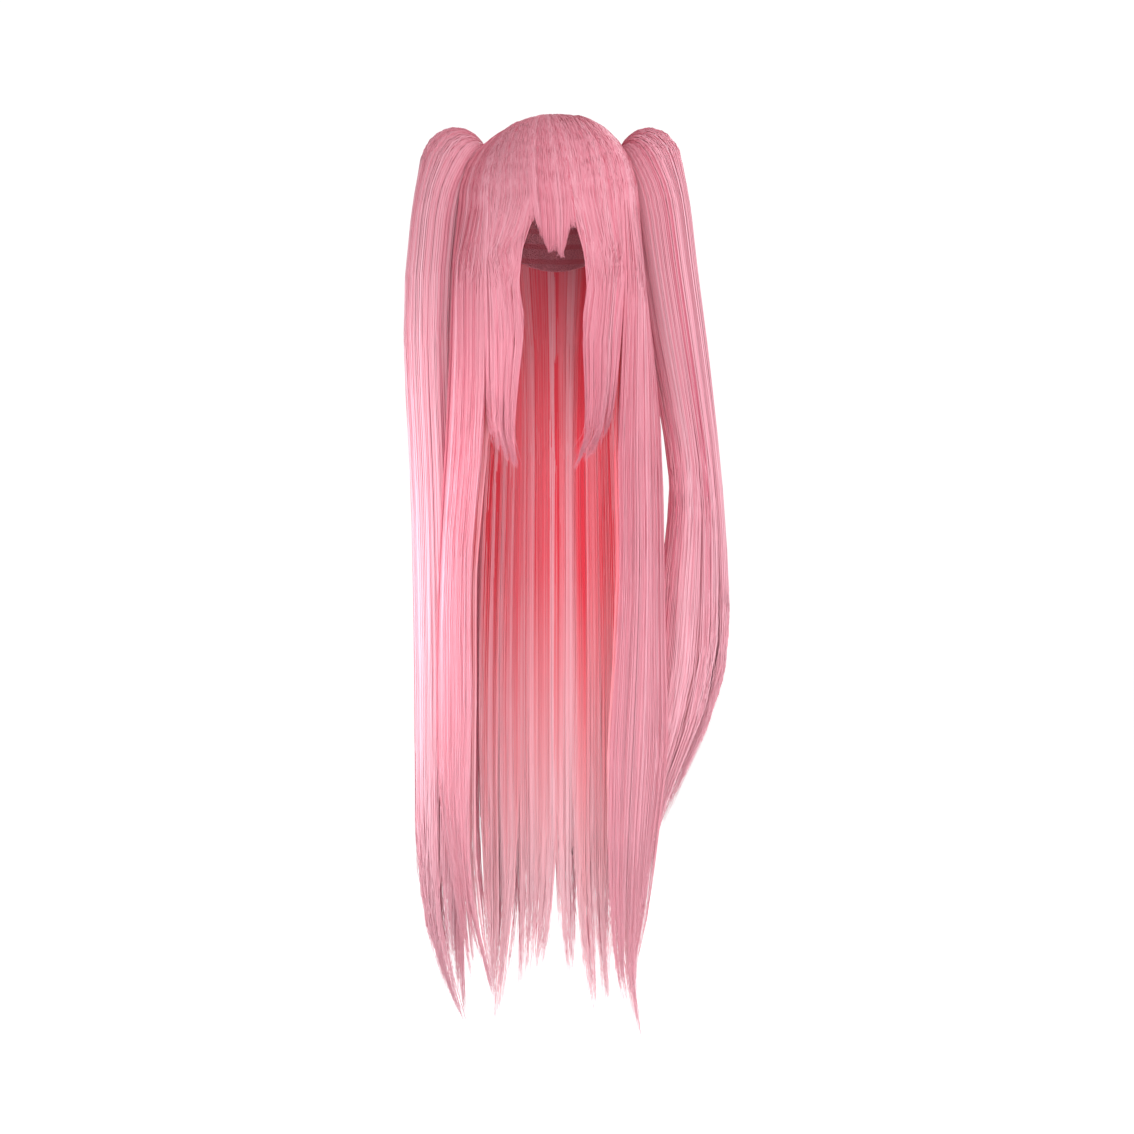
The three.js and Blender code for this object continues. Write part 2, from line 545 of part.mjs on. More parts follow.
// A plain rounded bar that lies on the crown hair, grown by a gap for the tail's pocket.
function clipSolid(hand, gap) {
  const half = CLIP_WIDTH / 2 + gap;
  const rest = CLIP_LENGTH / 2 - CLIP_WIDTH / 2;
  const outline = new THREE.Shape();
  outline.absarc(rest, 0, half, -Math.PI / 2, Math.PI / 2);
  outline.absarc(-rest, 0, half, Math.PI / 2, 3 * Math.PI / 2);
  const plate = new THREE.ExtrudeGeometry(outline, {
    depth: CLIP_BODY + 2 * gap, bevelEnabled: false, curveSegments: 6,
  });
  plate.translate(0, 0, -gap);
  const direction = bearing(hand * CLIP_BEARING, CLIP_ANGLE);
  const up = headNormal(direction);
  const along = new THREE.Vector3(0, 1, 0).addScaledVector(up, -up.y).normalize();
  const frame = new THREE.Matrix4().makeBasis(along, up.clone().cross(along), up);
  frame.setPosition(onHead(direction, HAIR_OUT + POCKET_GAP));
  return solidOf(plate.applyMatrix4(frame));
}

// The pieces

const wig = new THREE.Group();
wig.name = "pigtail_wig";

function addPiece(name, solid, look) {
  const { numProp, vertProperties, triVerts } = solid.getMesh();
  const geometry = new THREE.BufferGeometry();
  const places = new Float32Array(vertProperties.length / numProp * 3);
  for (let i = 0; i < places.length / 3; i += 1) {
    places.set(vertProperties.subarray(i * numProp, i * numProp + 3), i * 3);
  }
  geometry.setAttribute("position", new THREE.BufferAttribute(places, 3));
  geometry.setIndex(new THREE.BufferAttribute(new Uint32Array(triVerts), 1));
  const mesh = new THREE.Mesh(geometry, new THREE.MeshStandardMaterial(look));
  mesh.name = name;
  wig.add(mesh);
}

const HAIR_LOOK = { color: 0xdc949f, roughness: 0.45, metalness: 0 };
const NET_LOOK = { color: 0xc98d95, roughness: 0.8, metalness: 0 };
const CLIP_LOOK = { color: 0xb9a3a6, roughness: 0.4, metalness: 0.1 };

addPiece("wig_cap", capSolid(), NET_LOOK);
addPiece("bangs", sheetSolid(BANGS), HAIR_LOOK);
const room = crownRoom(TAIL_SEAT_GAP);
for (const [name, hand] of [["left", -1], ["right", 1]]) {
  addPiece(`side_lock_${name}`, sideLockSolid(name, hand), HAIR_LOOK);
  addPiece(`front_tress_${name}`, sheetSolid({ ...TRESSES[name], hand }), HAIR_LOOK);
  addPiece(`back_hair_${name}`, sheetSolid({ ...BACKS[name], hand }), HAIR_LOOK);
  const pocket = clipSolid(hand, POCKET_GAP);
  const tail = tailSolid(name, hand).subtract(room).subtract(pocket);
  addPiece(`pigtail_${name}`, tail, HAIR_LOOK);
  addPiece(`pigtail_clip_${name}`, clipSolid(hand, 0), CLIP_LOOK);
}

export default wig;
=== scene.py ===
import bpy
import numpy as np
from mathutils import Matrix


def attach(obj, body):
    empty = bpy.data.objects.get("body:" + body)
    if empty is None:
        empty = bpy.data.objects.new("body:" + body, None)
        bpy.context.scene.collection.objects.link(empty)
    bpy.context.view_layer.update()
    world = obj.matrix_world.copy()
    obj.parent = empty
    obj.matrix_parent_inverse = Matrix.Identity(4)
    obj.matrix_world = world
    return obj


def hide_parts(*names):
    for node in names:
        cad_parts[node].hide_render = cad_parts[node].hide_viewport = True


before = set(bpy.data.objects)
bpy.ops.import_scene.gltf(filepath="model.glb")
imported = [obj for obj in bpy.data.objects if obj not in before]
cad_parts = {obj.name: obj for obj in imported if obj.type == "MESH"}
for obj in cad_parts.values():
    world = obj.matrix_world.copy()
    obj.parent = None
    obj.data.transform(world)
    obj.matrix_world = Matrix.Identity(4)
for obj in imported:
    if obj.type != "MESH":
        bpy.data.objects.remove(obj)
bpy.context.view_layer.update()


# The net cap: a thin elastic net shell that the hair is sewn to. Its inside shows between the
# side locks. It is knitted from dull pink yarn in a fine mesh, with flat sewn bands across it
# that carry the rows of hair.
def shade(hex_colour):
    """A paint colour given as on a swatch card, as the linear colour that a shader takes."""
    parts = [int(hex_colour[i:i + 2], 16) / 255 for i in (0, 2, 4)]
    return [p / 12.92 if p <= 0.04045 else ((p + 0.055) / 1.055) ** 2.4 for p in parts] + [1.0]


def new_material(name, roughness, specular=0.5):
    """A new material with its node tree and its shader."""
    material = bpy.data.materials.new(name)
    material.use_nodes = True
    shader = material.node_tree.nodes["Principled BSDF"]
    shader.inputs["Roughness"].default_value = roughness
    shader.inputs["Specular IOR Level"].default_value = specular
    return material, material.node_tree, shader


def wire(tree, source, output, target, entry):
    tree.links.new(source.outputs[output], target.inputs[entry])


def mixed(tree, factor, low, high):
    """A colour mix of two colours, each a value or a node's output."""
    mix = tree.nodes.new("ShaderNodeMix")
    mix.data_type = "RGBA"
    tree.links.new(factor, mix.inputs[0])
    for entry, colour in ((6, low), (7, high)):
        if isinstance(colour, list):
            mix.inputs[entry].default_value = colour
        else:
            tree.links.new(colour, mix.inputs[entry])
    return mix.outputs[2]


def ranged(tree, source, output, low, high, made_low=0, made_high=1):
    """A node that moves a value from one range to another."""
    step = tree.nodes.new("ShaderNodeMapRange")
    for entry, value in (("From Min", low), ("From Max", high),
                         ("To Min", made_low), ("To Max", made_high)):
        step.inputs[entry].default_value = value
    wire(tree, source, output, step, "Value")
    return step


def pattern_in_place(tree, kind, scale):
    """A texture node that reads the piece's own place, with so many features a metre."""
    place = tree.nodes.new("ShaderNodeTexCoord")
    pattern = tree.nodes.new(kind)
    pattern.inputs["Scale"].default_value = scale
    wire(tree, place, "Object", pattern, "Vector")
    return pattern


def raise_bumps(tree, shader, source, output, height):
    """Makes a pattern stand out from the surface, by a height in metres."""
    bump = tree.nodes.new("ShaderNodeBump")
    bump.inputs["Distance"].default_value = height
    wire(tree, source, output, bump, "Height")
    wire(tree, bump, "Normal", shader, "Normal")


def finish_solid(name, material):
    """Gives a solid that keeps its own shape its finish."""
    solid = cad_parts[name]
    solid.data.materials.clear()
    solid.data.materials.append(material)


BAND_SCALE = 18
NET_SCALE = 620
NET_RELIEF = 0.0006
net, tree, shader = new_material("elastic_net", 0.85, 0.2)
bands = pattern_in_place(tree, "ShaderNodeTexWave", BAND_SCALE)
bands.bands_direction = "Z"
bands.inputs["Distortion"].default_value = 0.6
mesh_holes = pattern_in_place(tree, "ShaderNodeTexVoronoi", NET_SCALE)
hole_edge = ranged(tree, mesh_holes, "Distance", 0, 0.7)
band_edge = ranged(tree, bands, "Fac", 0.7, 0.8)
yarn = mixed(tree, hole_edge.outputs["Result"], shade("b06a76"), shade("d08a96"))
banded = mixed(tree, band_edge.outputs["Result"], yarn, shade("c46f7e"))
tree.links.new(banded, shader.inputs["Base Color"])
raise_bumps(tree, shader, hole_edge, "Result", NET_RELIEF)
finish_solid("wig_cap", net)


# The bangs: a short fringe of straight synthetic fibre that falls from the whorl on the crown
# over the forehead and is cut to two points. Like all the hair it is a filled body, its deep red
# a painted shade, under hundreds of separate strands, which are drawn together into points.
HEAD_HALF = np.array([76.0, 96.0, 105.0])
HEAD_FULLNESS = 2.4
ROOT_LEVEL = 2.7
CROWN_HAIR = 12.5
ROOT_HAIR = 11.5
HAIR_OUT = ROOT_LEVEL + CROWN_HAIR
OUT_X = HEAD_HALF[0] + HAIR_OUT
OUT_Y = HEAD_HALF[1] + HAIR_OUT
DOME_ARC = np.pi / 2 * (HEAD_HALF[2] + HAIR_OUT)
WHORL_RADIUS = 3.0
whorl = np.array([-12 / OUT_X, 8 / OUT_Y, 0])
whorl[2] = np.sqrt(1 - whorl @ whorl)


def smooth(value, low, high):
    """A soft step from 0 at the low value to 1 at the high one."""
    t = np.clip((value - low) / (high - low), 0, 1)
    return t * t * (3 - 2 * t)


def unit(vectors):
    return vectors / np.maximum(np.linalg.norm(vectors, axis=-1, keepdims=True), 1e-9)


def on_head(direction, grow):
    """The point in a direction on a head that is so many millimetres fuller all round."""
    level = np.hypot(direction[..., 0], direction[..., 1]) ** HEAD_FULLNESS
    full = (level + np.abs(direction[..., 2]) ** HEAD_FULLNESS) ** (-1 / HEAD_FULLNESS)
    point = direction * full[..., None] * (HEAD_HALF + np.asarray(grow)[..., None])
    point[..., 2] -= HEAD_HALF[2]
    return point


def along_dome(degrees, share):
    """The direction at a share of the way from the whorl down to the head's widest level."""
    turn = np.radians(degrees)
    end = np.stack([np.sin(turn), -np.cos(turn), np.zeros_like(turn)], -1)
    angle = np.arccos(end @ whorl)
    near = (np.sin((1 - share) * angle) / np.sin(angle))[..., None]
    far = (np.sin(share * angle) / np.sin(angle))[..., None]
    return whorl * near + end * far


def row_weights(falls, fall):
    """How much each row of a table counts at each fall, on a smooth curve through the rows."""
    falls = np.asarray(falls, float)
    last = len(falls) - 1
    slopes = np.zeros((last + 1, last + 1))
    for i in range(1, last + 1):
        top = min(i + 1, last)
        slopes[i, top] = 1 / (falls[top] - falls[i - 1])
        slopes[i, i - 1] = -slopes[i, top]
    k = np.clip(np.searchsorted(falls, fall, side="right") - 1, 0, last - 1)
    span = (falls[k + 1] - falls[k])[..., None]
    t = np.clip((fall - falls[k])[..., None] / span, 0, 1)
    eased = t * t * (3 - 2 * t)
    rows = np.eye(last + 1)
    return (rows[k] * (1 - eased) + rows[k + 1] * eased
            + span * t * (1 - t) * ((1 - t) * slopes[k] - t * slopes[k + 1]))


def sheet_point(sheet, hand, across, length, depth):
    """A point of a sheet of hair, in millimetres. Across runs from its near edge to its far one,
    length is down the hair from the whorl, and depth is 0 at its face and 1 at its back."""
    body, drop, lift = sheet["body"], sheet["drop"], sheet.get("lift", 0)

    def turn_at(a):
        return hand * (sheet["from"] + (sheet["to"] - sheet["from"]) * a)

    share = np.clip(length / DOME_ARC, 0.3 * WHORL_RADIUS / DOME_ARC, 1)
    hair = ROOT_HAIR + (CROWN_HAIR - ROOT_HAIR) * smooth(share, 0, 0.38)
    raised = lift * across ** 2 * smooth(share, 0.25, 0.85)
    dome = on_head(along_dome(turn_at(across), share), ROOT_LEVEL + (1 - depth) * (hair + raised))
    rows = np.array(sheet["rows"])
    scale = np.array([OUT_X, OUT_Y])
    near = rows[:, 1:3] * scale * [hand, 1]
    far = rows[:, 3:5] * scale * [hand, 1]
    chord = unit(far - near)
    bow = np.stack([chord[:, 1], -chord[:, 0]], -1) * hand * rows[:, 5:6] * OUT_Y
    fall = np.clip((length - DOME_ARC) / drop, 0, None)
    weight = row_weights([0, *rows[:, 0]], fall)
    lower = weight[..., 1:]

    def face(a):
        level = along_dome(turn_at(a), np.ones_like(a))
        top = on_head(level, HAIR_OUT + lift * a ** 2)[..., :2]
        side = a[..., None]
        return (weight[..., :1] * top + lower @ near + side * (lower @ (far - near))
                + 4 * side * (1 - side) * (lower @ bow))

    nudge = 0.02
    step = face(across + nudge) - face(across - nudge)
    normal = unit(np.stack([step[..., 1], -step[..., 0]], -1) * hand)
    thick = weight @ np.array([CROWN_HAIR / body, *rows[:, 6]]) * body
    hung = face(across) - normal * (depth * thick)[..., None]
    hung = np.concatenate([hung, (-HEAD_HALF[2] - fall * drop)[..., None]], -1)
    return np.where((length < DOME_ARC)[..., None], dome, hung)


def hem_at(sheet, across):
    """How far down the sheet's cut edge lies, as a share of its drop."""
    places, falls, edge = [0.0], [sheet["start"]], 0.0
    for to, tip, low, high in sheet["locks"]:
        places += [edge + (to - edge) * tip, to]
        falls += [low, high]
        edge = to
    return np.interp(across, places, falls)


def lock_point(sheet, across):
    """Where the tip of each strand's lock lies across the sheet, how far down it is, and how far
    it sweeps to the right at its end, in millimetres. A sheet's gathers, where it has them, are
    where its locks come together instead of at their tips."""
    ends = np.array([lock[0] for lock in sheet["locks"]])
    starts = np.append(0, ends[:-1])
    tips = starts + (ends - starts) * np.array([lock[1] for lock in sheet["locks"]])
    tips = np.array(sheet.get("gathers", tips))
    sweeps = np.array(sheet.get("sweeps", 0 * ends))
    own = np.clip(np.searchsorted(ends, across), 0, len(ends) - 1)
    return tips[own], np.array([lock[2] for lock in sheet["locks"]])[own], sweeps[own]


def outward(points, middle=None):
    """Which way the hair faces: out from the head, or from a tail's middle."""
    away = points.copy()
    if middle is None:
        away[..., 2] = np.maximum(points[..., 2] + HEAD_HALF[2], 0)
    else:
        away -= middle
    return unit(away)


def add_mesh(name, corners, faces, sizes, places, crease=None):
    """A closed mesh from arrays, in millimetres, with the map that its materials read. Edges
    whose ends are numbered crease apart stay sharp."""
    mesh = bpy.data.meshes.new(name)
    mesh.vertices.add(len(corners))
    mesh.vertices.foreach_set("co", (corners * 0.001).astype(np.float32).ravel())
    mesh.loops.add(len(faces))
    mesh.loops.foreach_set("vertex_index", faces.astype(np.int32))
    mesh.polygons.add(len(sizes))
    starts = np.concatenate([[0], np.cumsum(sizes)[:-1]])
    mesh.polygons.foreach_set("loop_start", starts.astype(np.int32))
    mesh.polygons.foreach_set("use_smooth", np.ones(len(sizes), bool))
    layer = mesh.uv_layers.new(name="OFBake")
    layer.data.foreach_set("uv", places.astype(np.float32).ravel())
    mesh.update(calc_edges=True)
    mesh.validate()
    if crease:
        pairs = np.zeros(len(mesh.edges) * 2, np.int32)
        mesh.edges.foreach_get("vertices", pairs)
        pairs = pairs.reshape(-1, 2)
        sharp = mesh.attributes.new("sharp_edge", "BOOLEAN", "EDGE")
        sharp.data.foreach_set("value", np.abs(pairs[:, 0] - pairs[:, 1]) == crease)
    piece = bpy.data.objects.new(name, mesh)
    bpy.context.scene.collection.objects.link(piece)
    return piece


STRAND_SIDES = 3
SIDE_ON_MAP = 0.003


def add_strands(name, paths, radius, away, tone):
    """One mesh of separate closed three-sided strands along the paths. On the map a strand is
    a narrow strip, which lies as far across as its tone is light."""
    count, steps = paths.shape[:2]
    flow = unit(np.gradient(paths, axis=1))
    side = unit(np.cross(flow, away))
    up = np.cross(side, flow)
    rings = []
    for angle in np.radians([30, 150, 270]):
        offset = up * np.sin(angle) + side * np.cos(angle)
        rings.append(paths + offset * radius[..., None])
    corners = np.stack(rings, 2)
    index = np.arange(count * steps * STRAND_SIDES).reshape(count, steps, STRAND_SIDES)
    nearby = np.roll(index, -1, axis=2)
    walls = np.stack([index[:, :-1], nearby[:, :-1], nearby[:, 1:], index[:, 1:]], -1)
    ends = np.stack([index[:, 0, ::-1], index[:, -1]], 1)
    run = np.cumsum(np.linalg.norm(np.diff(paths, axis=1), axis=-1), axis=1)
    down = np.concatenate([np.zeros((count, 1)), run / run[:, -1:]], 1)
    left = tone * (1 - STRAND_SIDES * SIDE_ON_MAP)
    seams = np.arange(STRAND_SIDES + 1)
    u = left[:, None, None] + SIDE_ON_MAP * seams
    u = np.broadcast_to(u, (count, steps, len(seams)))
    v = np.broadcast_to(down[..., None], (count, steps, len(seams)))
    wall_u = np.stack([u[:, :-1, :3], u[:, :-1, 1:], u[:, 1:, 1:], u[:, 1:, :3]], -1)
    wall_v = np.stack([v[:, :-1, :3], v[:, :-1, 1:], v[:, 1:, 1:], v[:, 1:, :3]], -1)
    end_u = np.stack([u[:, 0, :3], u[:, -1, :3]], 1)
    end_v = np.stack([v[:, 0, :3], v[:, -1, :3]], 1)
    end_v[..., 1] = np.abs(end_v[..., 1] - SIDE_ON_MAP)
    faces = np.concatenate([walls.ravel(), ends.ravel()])
    sizes = np.concatenate([np.full(walls.size // 4, 4), np.full(ends.size // 3, 3)])
    places = np.stack([np.concatenate([wall_u.ravel(), end_u.ravel()]),
                       np.concatenate([wall_v.ravel(), end_v.ravel()])], -1)
    return add_mesh(name, corners.reshape(-1, 3), faces, sizes, places, STRAND_SIDES)


def add_body(name, rings, seed):
    """A closed body through rings of points, the hair under the strands. On the map its sides
    lie at light and deep tones in turn, so that it is streaked along its length."""
    rows, sides = rings.shape[:2]
    streak = np.random.default_rng(seed).uniform(0.05, 0.3, sides)
    streak[1::2] += 0.35
    streak = np.append(streak, streak[0])
    index = np.arange(rows * sides).reshape(rows, sides)
    nearby = np.roll(index, -1, axis=1)
    walls = np.stack([index[:-1], index[1:], nearby[1:], nearby[:-1]], -1)
    u, v = np.meshgrid(streak, np.arange(rows) / (rows - 1))
    wall_u = np.stack([u[:-1, :-1], u[1:, :-1], u[1:, 1:], u[:-1, 1:]], -1)
    wall_v = np.stack([v[:-1, :-1], v[1:, :-1], v[1:, 1:], v[:-1, 1:]], -1)
    faces = np.concatenate([walls.ravel(), index[0], index[-1, ::-1]])
    sizes = np.concatenate([np.full(walls.size // 4, 4), [sides, sides]])
    turn = np.arange(sides) / sides * 2 * np.pi
    cap_place = 0.02 + 0.01 * np.stack([np.cos(turn), np.sin(turn)], -1)
    ends = np.concatenate([cap_place, cap_place + [0, 0.96]])
    places = np.concatenate([np.stack([wall_u.ravel(), wall_v.ravel()], -1), ends])
    return add_mesh(name, rings.reshape(-1, 3), faces, sizes, places)


def sheet_body(name, sheet, hand, columns, rows, reach=0.84):
    """The filled body of a sheet, ribbed as its locks are and a little inside its strands."""
    across = np.linspace(0.02, 0.98, columns)
    down = np.linspace(0.02, 1, rows)[:, None]
    total = DOME_ARC + hem_at(sheet, across) * reach * sheet["drop"]
    length = down ** 1.2 * total
    fade = smooth(down, 0.75, 1)
    rib = 0.12 * np.abs(np.sin(across * np.pi * sheet["ribs"] + 2 * down))
    edge = 0.3 * np.abs(2 * across - 1) ** 8
    face = np.clip(0.3 - rib + edge + 0.25 * fade, 0.05, 0.49)
    back = np.clip(0.8 + 0.5 * rib - edge - 0.3 * fade, 0.51, 0.95)
    spread = np.broadcast_to(across, length.shape)
    outer = sheet_point(sheet, hand, spread, length, face)
    inner = sheet_point(sheet, hand, spread, length, back)
    rings = np.concatenate([outer, inner[:, ::-1]], 1)
    if hand > 0:
        rings = rings[:, ::-1]
    return add_body(name, rings, columns)


SHEET_HANG = {"sway": 1, "ripples": 9, "wisp": 2, "long_wisp": 8, "long_share": 0.15, "flat": 0.8}
SWAY_BENDS = 5
RIPPLE = 0.2
STRAY_SHARE = 0.02
STRAY_TIMES = 10


def let_hang(rng, paths, away, clumps, nearest, order, hang, near_hem, habit, drift=0):
    """Lets strands sway with their clump, ripple, and spread into wisps at their ends."""
    count = len(paths)
    sway = rng.normal(0, habit["sway"], (clumps, 2))[nearest]
    phase = rng.uniform(0, 6.3, (clumps, 2))[nearest]
    stray = np.where(rng.uniform(0, 1, (count, 1)) < STRAY_SHARE, STRAY_TIMES, 1)
    loose = rng.normal(0, RIPPLE, (count, 2)) * stray
    wisp = rng.normal(0, habit["wisp"], (count, 1))
    long_wisp = rng.normal(0, habit["long_wisp"], (count, 1))
    wisp = wisp + long_wisp * (rng.uniform(0, 1, (count, 1)) < habit["long_share"])
    beside = unit(np.cross(away, [0, 0, 1.0]))
    for i, way in enumerate((beside, away)):
        wave = sway[:, i:i + 1] * np.sin(SWAY_BENDS * order + phase[:, i:i + 1]) + drift * (1 - i)
        ripple = np.sin(habit["ripples"] * order + phase[:, 1 - i:2 - i])
        wave = wave + loose[:, i:i + 1] * ripple
        wave = wave * hang + wisp * near_hem ** 1.5 * (1 - habit["flat"] * i)
        paths = paths + way * wave[..., None] * (1 - 0.5 * i)
    return paths


def strand_radius(rng, count, order, width, thin_from, root_size, root_run):
    """The radius of each strand at each step, small at the root and fine at the tip."""
    radius = width * rng.uniform(0.75, 1.15, (count, 1)) * (1 - 0.1 * order)
    fine = 1 - 0.8 * smooth(order, thin_from, 1)
    return radius * fine * (root_size + (1 - root_size) * smooth(order, 0, root_run))


DEEP_SHARE = 0.04
DEEPER = 0.3


def tone_spread(rng, clumps, nearest, clump_spread, spread):
    """How much lighter than the rest each strand is. A few are much deeper."""
    count = len(nearest)
    lighter = rng.normal(0, clump_spread, clumps)[nearest] + rng.normal(0, spread, count)
    return lighter - DEEPER * (rng.uniform(0, 1, count) < DEEP_SHARE)


def down_the_sheet(sheet, begin, hem, order):
    """How far down the hair each step of each strand lies, with closer steps on the crown and
    near the hem, where the hair bends."""
    over_dome = (DOME_ARC - begin)[:, None]
    below = np.maximum(hem, 0.02)[:, None] * sheet["drop"]
    knee = 1.2 * over_dome ** 0.3
    knee = knee / (knee + below ** 0.3)
    on_dome = begin[:, None] + over_dome * order / knee
    under_dome = DOME_ARC + below * (1 - np.clip((1 - order) / (1 - knee), 0, 1) ** 1.3)
    return np.where(order < knee, on_dome, under_dome)


EDGE_SPILL = 2.6
LAYER_DEPTH = 0.08
LAST_START = 0.75
HIDDEN_START = 0.8
CLUMP_PULL = 0.1
HEM_PULL = 0.35
DRIFT = 1.5


def comb_sheet(name, sheet, hand, count, clumps, steps, seed, width=0.5,
               inside=0.3, loose_hem=0.2, gather=0.5, hidden_shade=0.2, light=0.55,
               even=1, ragged=0.06, streaky=0.13, trimmed=False):
    """The strands of a sheet. They part into clumps on the way down, and each lock's strands
    are drawn together into its point. The share inside lies hidden at the sheet's back. Even 0
    keeps strands to the cut edge, and 1 lets them reach their lock's point. A trimmed sheet
    keeps its near edge clean below the head."""
    rng = np.random.default_rng(seed)
    spill = EDGE_SPILL / (sheet["to"] - sheet["from"])
    middles = (np.arange(clumps) + rng.uniform(-0.2, 1.2, clumps)) / clumps
    middles[0], middles[-1] = -spill / 2, 1 + spill / 2
    root = (np.arange(count) + rng.uniform(0, 1, count)) / count * (1 + 2 * spill) - spill
    nearest = np.abs(root[:, None] + rng.normal(0, 0.3 / clumps, (count, 1)) - middles).argmin(1)
    middle = middles[nearest]
    fringe = rng.uniform(0, 1, clumps) ** 2
    point, point_hem, sweep = lock_point(sheet, middle)
    hidden = rng.uniform(0, 1, count) < inside
    order = np.linspace(0, 1, steps)

    # Deeper strands start farther down the crown, so that the whorl isn't crowded.
    layer = np.abs(rng.normal(0, LAYER_DEPTH, count))
    buried = np.argsort(np.argsort(layer)) / count
    begin = WHORL_RADIUS * 0.4 + DOME_ARC * LAST_START * buried * rng.uniform(0.7, 1, count)
    begin = np.where(hidden, HIDDEN_START * DOME_ARC, begin)
    hem = hem_at(sheet, np.clip(root, 0, 1))
    hem = hem + (point_hem + 0.01 - hem) * even * rng.uniform(0, 1, count) ** 0.45
    hem = hem - loose_hem * rng.uniform(0, 1, count) ** 2.6 - ragged * fringe[nearest]
    length = down_the_sheet(sheet, begin, hem, order)

    # Each strand leans to its clump's middle, and near the hem to its lock's point.
    part = 0.7 + 0.14 * rng.uniform(0, 1, clumps)[nearest]
    near_hem = smooth((length - DOME_ARC) / sheet["drop"], (part * point_hem)[:, None], 1.04)
    pull = CLUMP_PULL * smooth(order, 0.1, 0.7) + HEM_PULL * near_hem
    kept = np.clip(root, 0, 1)
    tucked = np.where(root < 0, 1.0, 0.5) if trimmed else np.full(count, 0.5)
    spilled = (root - kept)[:, None] * (
        1 - tucked[:, None] * smooth(length / DOME_ARC, 0.55, 0.95))
    across = kept[:, None] + spilled + (middle - kept)[:, None] * pull
    across = across + (point - middle)[:, None] * gather * near_hem
    across = across + rng.normal(0, 0.003, (count, 1))

    # The outer strands rise from the whorl to the face, and all meet in the sheet at the hem.
    layer = layer - 0.02
    layer = np.where(hidden, 1 - layer, layer)
    layer = layer + rng.uniform(-0.01, 0.035, clumps)[nearest] * np.where(hidden, -1, 1)
    rise = (1 - smooth(order, 0, 0.12)) * (0.28 + 0.24 * np.clip(1 - 3 * buried, 0, 1))[:, None]
    depth = np.clip(layer[:, None] + (1 - layer)[:, None] * rise, -0.04, 1)
    depth = depth + (0.5 - depth) * 0.6 * near_hem
    paths = sheet_point(sheet, hand, across, length, depth)

    away = outward(paths)
    drift = np.sin(7 * root[:, None] + 4 * order + seed) * DRIFT
    hang = smooth(order, 0.25, 0.75)
    paths = let_hang(rng, paths, away, clumps, nearest, order, hang, near_hem, SHEET_HANG, drift)
    paths[..., 0] += sweep[:, None] * near_hem ** 2
    radius = strand_radius(rng, count, order, width, 0.7, 0.5, 0.03)
    tone = light + tone_spread(rng, clumps, nearest, streaky, 0.11)
    # Painted shade: the hidden strands at the sheet's back are given a deeper tone.
    tone = np.clip(tone - hidden_shade * hidden, 0, 1)
    away = unit(away * np.where(hidden, -1, 1)[:, None, None] + rng.normal(0, 0.1, (count, 1, 3)))
    return add_strands(name, paths, radius, away, tone)


def maths(tree, operation, *terms):
    """A sum whose terms are numbers, or a node and its output."""
    step = tree.nodes.new("ShaderNodeMath")
    step.operation = operation
    for i, term in enumerate(terms):
        if isinstance(term, tuple):
            wire(tree, *term, step, i)
        else:
            step.inputs[i].default_value = term
    return step


# One colour effect serves all the hair: from a strand's deep tone to its light one across the
# map, darker at the root as painted shade and paler at the tip as painted light through the
# thin ends, with short bright and dull stretches along it.
fibre = bpy.data.node_groups.new("fibre_colour", "ShaderNodeTree")
for label in ("Deep", "Light", "Root Shade", "Tip Light"):
    fibre.interface.new_socket(label, in_out="INPUT", socket_type="NodeSocketColor")
for label in ("Root Share", "Tip Share", "Streaks"):
    fibre.interface.new_socket(label, in_out="INPUT", socket_type="NodeSocketFloat")
fibre.interface.new_socket("Colour", in_out="OUTPUT", socket_type="NodeSocketColor")
fibre.interface.new_socket("Roughness", in_out="OUTPUT", socket_type="NodeSocketFloat")
entry = fibre.nodes.new("NodeGroupInput")
leave = fibre.nodes.new("NodeGroupOutput")
strand_map = fibre.nodes.new("ShaderNodeUVMap")
strand_map.uv_map = "OFBake"
parts = fibre.nodes.new("ShaderNodeSeparateXYZ")
wire(fibre, strand_map, "UV", parts, "Vector")
stretch = fibre.nodes.new("ShaderNodeMapping")
stretch.inputs["Scale"].default_value = (110, 5, 1)
wire(fibre, strand_map, "UV", stretch, "Vector")
streaks = fibre.nodes.new("ShaderNodeTexNoise")
streaks.inputs["Scale"].default_value = 1
streaks.inputs["Detail"].default_value = 2
wire(fibre, stretch, "Vector", streaks, "Vector")
swing = maths(fibre, "SUBTRACT", (streaks, "Fac"), 0.5)
toned = maths(fibre, "MULTIPLY_ADD", (swing, 0), (entry, "Streaks"), (parts, "X"))
tones = mixed(fibre, toned.outputs[0], entry.outputs["Deep"], entry.outputs["Light"])
root_shade_fade = ranged(fibre, parts, "Y", 0, 0.22, 1, 0)
root_shade_mix = maths(fibre, "MULTIPLY", (root_shade_fade, "Result"), (entry, "Root Share"))
root_shaded = mixed(fibre, root_shade_mix.outputs[0], tones, entry.outputs["Root Shade"])
tip_light_fade = ranged(fibre, parts, "Y", 0.5, 0.95)
tip_light_mix = maths(fibre, "MULTIPLY", (tip_light_fade, "Result"), (entry, "Tip Share"))
tip_lit = mixed(fibre, tip_light_mix.outputs[0], root_shaded, entry.outputs["Tip Light"])
fibre.links.new(tip_lit, leave.inputs["Colour"])
dulled = ranged(fibre, streaks, "Fac", 0, 1, 0.36, 0.56)
wire(fibre, dulled, "Result", leave, "Roughness")


